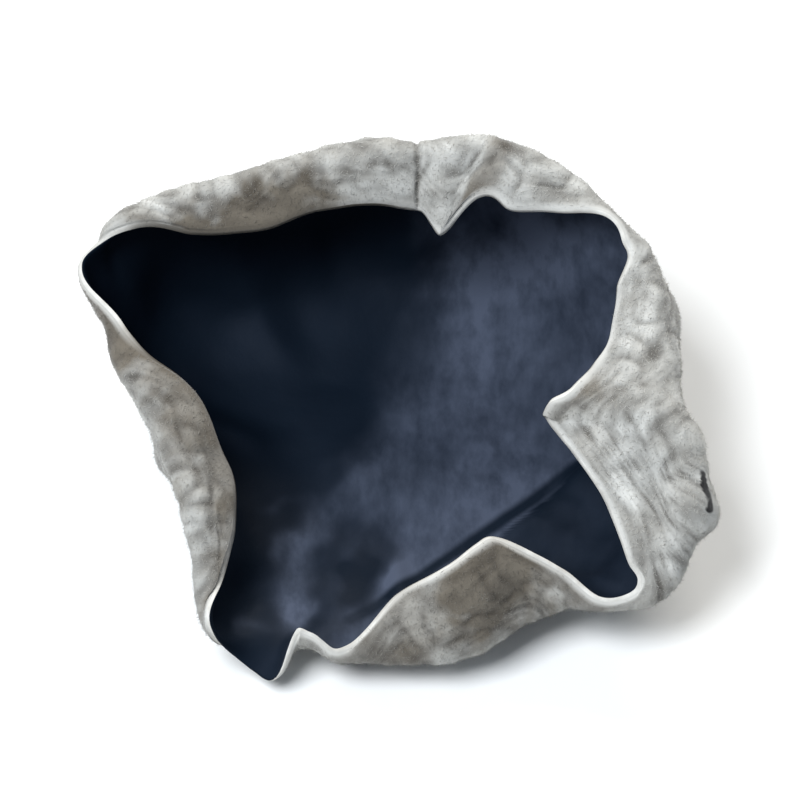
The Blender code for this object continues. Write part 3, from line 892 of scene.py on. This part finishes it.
def near_line(tree, at, ends, width):
    """1 near the straight line between two of the stations' points, and 0 away from it."""
    start, end = (in_object(point) for point in ends)
    run = end - start
    from_start = add(tree, "ShaderNodeVectorMath", {0: at, 1: start}, operation="SUBTRACT")
    ahead = add(tree, "ShaderNodeVectorMath",
                {0: from_start, 1: run / (run @ run)}, operation="DOT_PRODUCT")
    held = add(tree, "ShaderNodeClamp", {"Value": ahead})
    nearest = add(tree, "ShaderNodeVectorMath", {0: run, "Scale": held}, operation="SCALE")
    off_line = add(tree, "ShaderNodeVectorMath", {0: from_start, 1: nearest}, operation="DISTANCE")
    near = add(tree, "ShaderNodeMapRange",
               {"Value": off_line, "From Min": width[0] * MM, "From Max": width[1] * MM},
               interpolation_type="SMOOTHSTEP")
    return near


tree, skin, at = open_material("black_face")
feed(skin, {"IOR": 1.45, "Specular IOR Level": 0.17, "Specular Tint": linear("#b9c8e6")})
patches = add(tree, "ShaderNodeTexNoise",
              {"Vector": at, "Scale": 1 / SKIN_PATCH, "Detail": 4, "Roughness": 0.55})
drawn_out = add(tree, "ShaderNodeMapping", {"Vector": at, "Scale": (1, 0.5, 0.6)})
specks = add(tree, "ShaderNodeTexNoise",
             {"Vector": drawn_out, "Scale": 1 / SKIN_SPECK, "Detail": 4, "Roughness": 0.6})
dark = add(tree, "ShaderNodeMix",
           {0: patches, 6: linear("#080f18"), 7: linear("#0d1722")}, data_type="RGBA")
# Real spore bloom, painted reflection and the tongue's painted shadow, stored on the points.
bloom_and_light_here = add(tree, "ShaderNodeAttribute", attribute_name="bloomed").outputs["Fac"]
soft = add(tree, "ShaderNodeMath", {0: bloom_and_light_here, 1: patches}, operation="MULTIPLY")
speckled = add(tree, "ShaderNodeMath", {0: soft, 1: specks}, operation="MULTIPLY")
bloom = add(tree, "ShaderNodeMapRange", {"Value": speckled, "From Max": 0.36})
tint = add(tree, "ShaderNodeMix", {0: bloom, 6: dark, 7: linear("#454c5b")}, data_type="RGBA")
plan = add(tree, "ShaderNodeVectorMath", {0: at, 1: (1, 1, 0)}, operation="MULTIPLY")
# Along the line beside the fold a shadow is painted dark.
on_shadow_line = near_line(tree, plan, SHADOW_LINE, SHADOW_LINE_WIDTH)
uneven = add(tree, "ShaderNodeMapRange",
             {"Value": patches, "From Min": 0.4, "From Max": 0.55, "To Min": 0.7})
painted_shadow = add(tree, "ShaderNodeMath", {0: on_shadow_line, 1: uneven}, operation="MULTIPLY")
shadowed = add(tree, "ShaderNodeMix", {0: painted_shadow, 6: tint, 7: dark}, data_type="RGBA")
satin = add(tree, "ShaderNodeMapRange",
            {"Value": patches, "From Min": 0.3, "From Max": 0.7, "To Min": 0.58, "To Max": 0.70})
grain = add(tree, "ShaderNodeTexNoise", {"Vector": at, "Scale": 1 / SKIN_GRAIN, "Detail": 3})
raised = add(tree, "ShaderNodeBump", {"Height": grain, "Strength": 0.35, "Distance": 0.03 * MM})
feed(skin, {"Base Color": shadowed, "Roughness": satin, "Normal": raised})
print("black face:", len(tree.nodes), "nodes")

# %% [markdown]
# ## Material: the felted back
# The back is a felt of short hairs, dry and matt like suede. The tops of its wrinkles are
# rubbed and dusty, nearly white, and dirt has settled between them, and the same height also
# paints highlight on the tops and shade in the hollows, so the height of the relief, which was
# stored on the points, drives the colour. Wide patches are browner, and so are the patches of
# stain and painted shade. Round the stub the puckers have a frosty blue-white bloom, and at the
# very margin the felt ends and the thin flesh shows paler. Behind the hook on the tongue's edge,
# the shadow in the gap under it is painted as a short dark line, drawn as the one on the black
# face. Felt scatters light forwards, which a little sheen gives.

# %% Felted back
FELT_PATCH = 2.6 * MM  # from one brownish patch to the next
FELT_MOTTLE = 0.8 * MM
FELT_FIBRE = 0.11 * MM  # the felt's grain, drawn about twice as coarse as it is
# The shadow in the gap behind the hook, painted as a short dark line.
HOOK_SHADOW = ((14.55, -5.35, 7.5), (14.9, -6.9, 6.95))  # mm, from end to end
HOOK_SHADOW_WIDTH = (0.3, 0.16)  # mm from the line, where it starts to darken and is all dark

tree, felt, at = open_material("felted_back")
feed(felt, {"Roughness": 0.93, "Specular IOR Level": 0.25, "Sheen Weight": 0.25,
            "Sheen Roughness": 0.5})
height, outwards, from_edge, stain_and_shade_here, pale_here = (
    add(tree, "ShaderNodeAttribute", attribute_name=name).outputs["Fac"]
    for name in ("relief", "share", "to_margin", "stained", "paleness")
)
mottle = add(tree, "ShaderNodeTexNoise",
             {"Vector": at, "Scale": 1 / FELT_MOTTLE, "Detail": 3, "Roughness": 0.6})
# The relief lightens the tops and darkens the hollows: rubbed dust and dirt, and also painted
# highlight and shade.
lifted = add(tree, "ShaderNodeMath", {0: mottle, 1: 0.55, 2: height}, operation="MULTIPLY_ADD")
rubbed_and_lit = add(tree, "ShaderNodeMapRange", {"Value": lifted, "From Min": 0.2, "From Max": 1.4})
grey = add(tree, "ShaderNodeMix",
           {0: rubbed_and_lit, 6: linear("#686661"), 7: linear("#cfcfca")}, data_type="RGBA")
wide = add(tree, "ShaderNodeTexNoise", {"Vector": at, "Scale": 1 / FELT_PATCH, "Detail": 3})
brownish = add(tree, "ShaderNodeMapRange",
               {"Value": wide, "From Min": 0.42, "From Max": 0.68, "To Max": 0.45})
# The patches of stain and painted shade join the browner wide patches in turning the felt umber.
dull = add(tree, "ShaderNodeMath", {0: brownish, 1: stain_and_shade_here}, operation="ADD", use_clamp=True)
umber = add(tree, "ShaderNodeMix",
            {0: rubbed_and_lit, 6: linear("#423c34"), 7: linear("#766f63")}, data_type="RGBA")
inner_part = add(tree, "ShaderNodeMapRange",
                 {"Value": outwards, "From Min": 0.62, "From Max": 0.35, "To Max": 0.75})
on_top = add(tree, "ShaderNodeMath", {0: inner_part, 1: rubbed_and_lit}, operation="MULTIPLY")
thin_edge = add(tree, "ShaderNodeMapRange",
                {"Value": from_edge, "From Min": 0.5, "From Max": 0.1, "To Max": 0.6})
bare = add(tree, "ShaderNodeMath", {0: thin_edge, 1: pale_here}, operation="MULTIPLY")
# Painted shadow behind the hook.
in_hook_shadow = near_line(tree, at, HOOK_SHADOW, HOOK_SHADOW_WIDTH)
# What lies over the grey, one over the other: where it is, and its colour.
LAYERS = [
    (dull, umber),
    (on_top, linear("#c3ccd6")),
    (bare, linear("#dcdbd5")),
    (in_hook_shadow, linear("#08080a")),
]
layered = grey
for where, tone in LAYERS:
    layered = add(tree, "ShaderNodeMix", {0: where, 6: layered, 7: tone}, data_type="RGBA")
fibre = add(tree, "ShaderNodeTexNoise",
            {"Vector": at, "Scale": 1 / FELT_FIBRE, "Detail": 3, "Roughness": 0.7})
raised = add(tree, "ShaderNodeBump", {"Height": fibre, "Strength": 0.5, "Distance": 0.05 * MM})
feed(felt, {"Base Color": layered, "Normal": raised})
print("felted back:", len(tree.nodes), "nodes")

# %% [markdown]
# ## Materials: the margin and the cut
# At the margin the wall ends in an edge as thin as card. There is neither skin nor felt on
# it, only dried flesh, which is horn-like: pale, slightly yellow and a little glossy. The cut
# under the stub shows the same flesh, darker and fibrous, with a paler middle.

# %% Margin and cut
EDGE_FLECK = 0.5 * MM
CUT_FIBRE = 0.22 * MM
CUT_CORE = 2.4 * MM  # how far the pale middle reaches
CUT_MIDDLE = (0.4 * MM, 1.5 * MM, 0)

tree, edge, at = open_material("torn_margin")
flecks = add(tree, "ShaderNodeTexNoise", {"Vector": at, "Scale": 1 / EDGE_FLECK, "Detail": 3})
pale = add(tree, "ShaderNodeMix",
           {0: flecks, 6: linear("#aeaba3"), 7: linear("#e6e5df")}, data_type="RGBA")
pale_here = add(tree, "ShaderNodeAttribute", attribute_name="paleness").outputs["Fac"]
dirty = add(tree, "ShaderNodeMix", {0: pale_here, 6: linear("#5b564e"), 7: pale}, data_type="RGBA")
feed(edge, {"Base Color": dirty, "Roughness": 0.7})

tree, cut_face, at = open_material("cut_flesh")
fibres = add(tree, "ShaderNodeTexNoise",
             {"Vector": at, "Scale": 1 / CUT_FIBRE, "Detail": 4, "Roughness": 0.65})
centred = add(tree, "ShaderNodeMapping", {"Vector": at, "Location": CUT_MIDDLE,
                                          "Scale": (CUT_CORE,) * 3}, vector_type="TEXTURE")
core = add(tree, "ShaderNodeTexGradient", {"Vector": centred}, gradient_type="SPHERICAL")
fibrous = add(tree, "ShaderNodeMix",
              {0: fibres, 6: linear("#54473a"), 7: linear("#a39478")}, data_type="RGBA")
cream = add(tree, "ShaderNodeMix",
            {0: core.outputs["Fac"], 6: fibrous, 7: linear("#d2c5a2")}, data_type="RGBA")
raised = add(tree, "ShaderNodeBump", {"Height": fibres, "Strength": 0.6, "Distance": 0.08 * MM})
feed(cut_face, {"Base Color": cream, "Roughness": 0.8, "Normal": raised})
print("margin and cut:", len(flecks.id_data.nodes), "and", len(tree.nodes), "nodes")

# %% [markdown]
# ## The hairs of the felt
# Seen close, the felt is a nap of hairs a tenth of a millimetre or two long, lying every way.
# They soften every edge of the back against the light. Geometry Nodes scatter them: points
# on the faces of the back, a thin three-sided spike on each, turned and leant at random. The
# real ones are several times thinner and closer together, but these are as fine as the
# render can show, and three triangles each keep them light. A hair's tone is one random
# number, darker on the patches of stain and painted shade, and its map is that tone by the
# height on the hair, so one small picture of tones would colour them all. None grow on the
# painted shadow behind the hook.

# %% The hairs' tree
HAIR_SIDES = 3  # and so many triangles
# A hair loses tone on the patches of stain and painted shade.
HAIR_IN_DARK_PATCH = 0.85  # how much of its tone a hair loses on a full stain
# No hair grows on the painted shadow behind the hook.
HOOK_SHADOW_BARE = (HOOK_SHADOW_WIDTH[0] + 0.08) * MM  # how far from the slit's line no hair grows

tree = bpy.data.node_groups.new("felt_nap", "GeometryNodeTree")
tree.is_modifier = True
tree.interface.new_socket("Geometry", in_out="INPUT", socket_type="NodeSocketGeometry")
SIZES = {
    "Hairs per square metre": 52e6,
    "Length": 0.20 * MM,
    "Root width": 0.024 * MM,
    "Most lean": math.radians(78),
    "Least lean": math.radians(30),
}
identifiers = {}
for name in SIZES:
    socket = tree.interface.new_socket(name, in_out="INPUT", socket_type="NodeSocketFloat")
    identifiers[name] = socket.identifier
tree.interface.new_socket("Geometry", in_out="OUTPUT", socket_type="NodeSocketGeometry")
given = add(tree, "NodeGroupInput").outputs
growth, on_stain_and_shade, by_tone, by_height = (
    add(tree, "GeometryNodeInputNamedAttribute", {"Name": name}, data_type="FLOAT").outputs[0]
    for name in ("growth", "stained", "tone", "up_hair")
)
# Each of these is drawn anew for every hair, evenly between two values.
DRAWS = {
    "lean": {2: given["Least lean"], 3: given["Most lean"], "Seed": 1},
    "heading": {2: 0.0, 3: 2 * math.pi, "Seed": 2},
    "size": {2: 0.55, 3: 1.25, "Seed": 3},
    "tone": {2: 0.45, 3: 1.0, "Seed": 5},
}
drawn = {name: add(tree, "FunctionNodeRandomValue", between, data_type="FLOAT")
         for name, between in DRAWS.items()}

density = add(tree, "ShaderNodeMath",
              {0: given["Hairs per square metre"], 1: growth}, operation="MULTIPLY")
roots = add(tree, "GeometryNodeDistributePointsOnFaces",
            {"Mesh": given["Geometry"], "Density": density, "Seed": 4})
# The line of the painted shadow, near which no hair grows.
hook_shadow_mesh = add(tree, "GeometryNodeMeshLine",
                {"Start Location": in_object(HOOK_SHADOW[0]), "Offset": in_object(HOOK_SHADOW[1]), "Count": 2},
                mode="END_POINTS")
from_hook_shadow = add(tree, "GeometryNodeProximity", {0: hook_shadow_mesh}, target_element="EDGES")
over_hook_shadow = add(tree, "FunctionNodeCompare", {0: from_hook_shadow.outputs["Distance"], 1: HOOK_SHADOW_BARE},
                data_type="FLOAT", operation="LESS_THAN")
outside = add(tree, "GeometryNodeDeleteGeometry", {0: roots, 1: over_hook_shadow}, domain="POINT")
root_radius = add(tree, "ShaderNodeMath", {0: given["Root width"], 1: 0.5}, operation="MULTIPLY")
spike = add(tree, "GeometryNodeMeshCone",
            {"Vertices": HAIR_SIDES, "Radius Top": 0.0, "Radius Bottom": root_radius,
             "Depth": given["Length"]}, fill_type="NONE")
place = add(tree, "ShaderNodeSeparateXYZ", {0: add(tree, "GeometryNodeInputPosition")})
up_hair = add(tree, "ShaderNodeMath",
              {0: place.outputs["Z"], 1: given["Length"]}, operation="DIVIDE")
marked = add(tree, "GeometryNodeStoreNamedAttribute",
             {"Geometry": spike, "Name": "up_hair", "Value": up_hair}, data_type="FLOAT",
             domain="POINT")
turned = add(tree, "ShaderNodeCombineXYZ", {"X": drawn["lean"], "Z": drawn["heading"]})
turn = add(tree, "FunctionNodeEulerToRotation", {0: turned})
laid = add(tree, "FunctionNodeRotateRotation",
           {"Rotation": roots.outputs["Rotation"], "Rotate By": turn}, rotation_space="LOCAL")
hairs = add(tree, "GeometryNodeInstanceOnPoints",
            {"Points": outside, "Instance": marked, "Rotation": laid, "Scale": drawn["size"]})
# Hairs on the patches of stain and painted shade are darker.
outside_dark_patch = add(tree, "ShaderNodeMath",
            {0: on_stain_and_shade, 1: -HAIR_IN_DARK_PATCH, 2: 1.0}, operation="MULTIPLY_ADD")
darkened = add(tree, "ShaderNodeMath", {0: drawn["tone"], 1: outside_dark_patch}, operation="MULTIPLY")
toned = add(tree, "GeometryNodeStoreNamedAttribute",
            {"Geometry": hairs, "Name": "tone", "Value": darkened}, data_type="FLOAT",
            domain="INSTANCE")
real = add(tree, "GeometryNodeRealizeInstances", {0: toned})
on_map = add(tree, "ShaderNodeCombineXYZ", {"X": by_tone, "Y": by_height})
mapped = add(tree, "GeometryNodeStoreNamedAttribute",
             {"Geometry": real, "Name": "OFBake", "Value": on_map}, data_type="FLOAT2",
             domain="CORNER")
smooth = add(tree, "GeometryNodeSetShadeSmooth", {"Geometry": mapped})
nap = bpy.data.materials.new("felt_hair")
coloured = add(tree, "GeometryNodeSetMaterial", {"Geometry": smooth, "Material": nap})
add(tree, "NodeGroupOutput", {0: coloured})
print("felt_nap:", len(tree.nodes), "nodes")

# %% [markdown]
# ## Growing the hairs
# They grow on the back alone, so the tree is given a copy of the shell with its other faces
# taken off. How densely they grow is one more number on the points: full over the wall, and
# none right at the margin, on the cut, or close above the table, where they would poke
# through it.

# %% Growing them
BARE_MARGIN = (0.05, 0.5)  # mm from the margin, where hairs begin and where they are dense
BARE_TABLE = (0.45, 0.9)  # mm above the table, likewise

bm = bmesh.new()
bm.from_mesh(shell.data)
others = [f for f in bm.faces if SIDES[f.material_index] != "felted_back"]
bmesh.ops.delete(bm, geom=others, context="FACES")
growth_layer = bm.verts.layers.float.new("growth")
to_edge = bm.verts.layers.float["to_margin"]
for vertex in bm.verts:
    grown = smooth_step(*BARE_MARGIN, vertex[to_edge])
    vertex[growth_layer] = float(grown * smooth_step(*BARE_TABLE, vertex.co.z / MM))
felt_hairs = object_from(bm, "felt_hairs")
grower = felt_hairs.modifiers.new("felt_nap", "NODES")
grower.node_group = bpy.data.node_groups["felt_nap"]
for name, value in SIZES.items():
    grower[identifiers[name]] = value
felt_hairs.data = finished_mesh(felt_hairs)
triangles = len(felt_hairs.data.polygons)
print(triangles // HAIR_SIDES, "hairs,", triangles, "triangles")

# %% [markdown]
# ## Material: the hairs
# A dry hair is hollow and nearly colourless, so it looks white where light gets into it and
# greyish brown at its dirty root. Tones differ from hair to hair.

# %% Hair
tree, hair, _ = open_material("felt_hair")
hair_tone, hair_height = (
    add(tree, "ShaderNodeAttribute", attribute_name=name).outputs["Fac"]
    for name in ("tone", "up_hair")
)
dry = add(tree, "ShaderNodeMix",
          {0: hair_tone, 6: linear("#5f594f"), 7: linear("#dcdbd5")}, data_type="RGBA")
tip = add(tree, "ShaderNodeMapRange", {"Value": hair_height, "To Min": 0.35, "To Max": 0.0})
rooted = add(tree, "ShaderNodeMix", {0: tip, 6: dry, 7: linear("#6e675d")}, data_type="RGBA")
feed(hair, {"Base Color": rooted, "Roughness": 0.75, "Specular IOR Level": 0.3})
print("hair:", len(tree.nodes), "nodes")

# %% [markdown]
# ## Handing over
# The shell stands for the solid model's one node and the hairs ride with it.

# %% Handing over
for piece in (shell, felt_hairs):
    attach(piece, "root")
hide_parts("wood_ear")
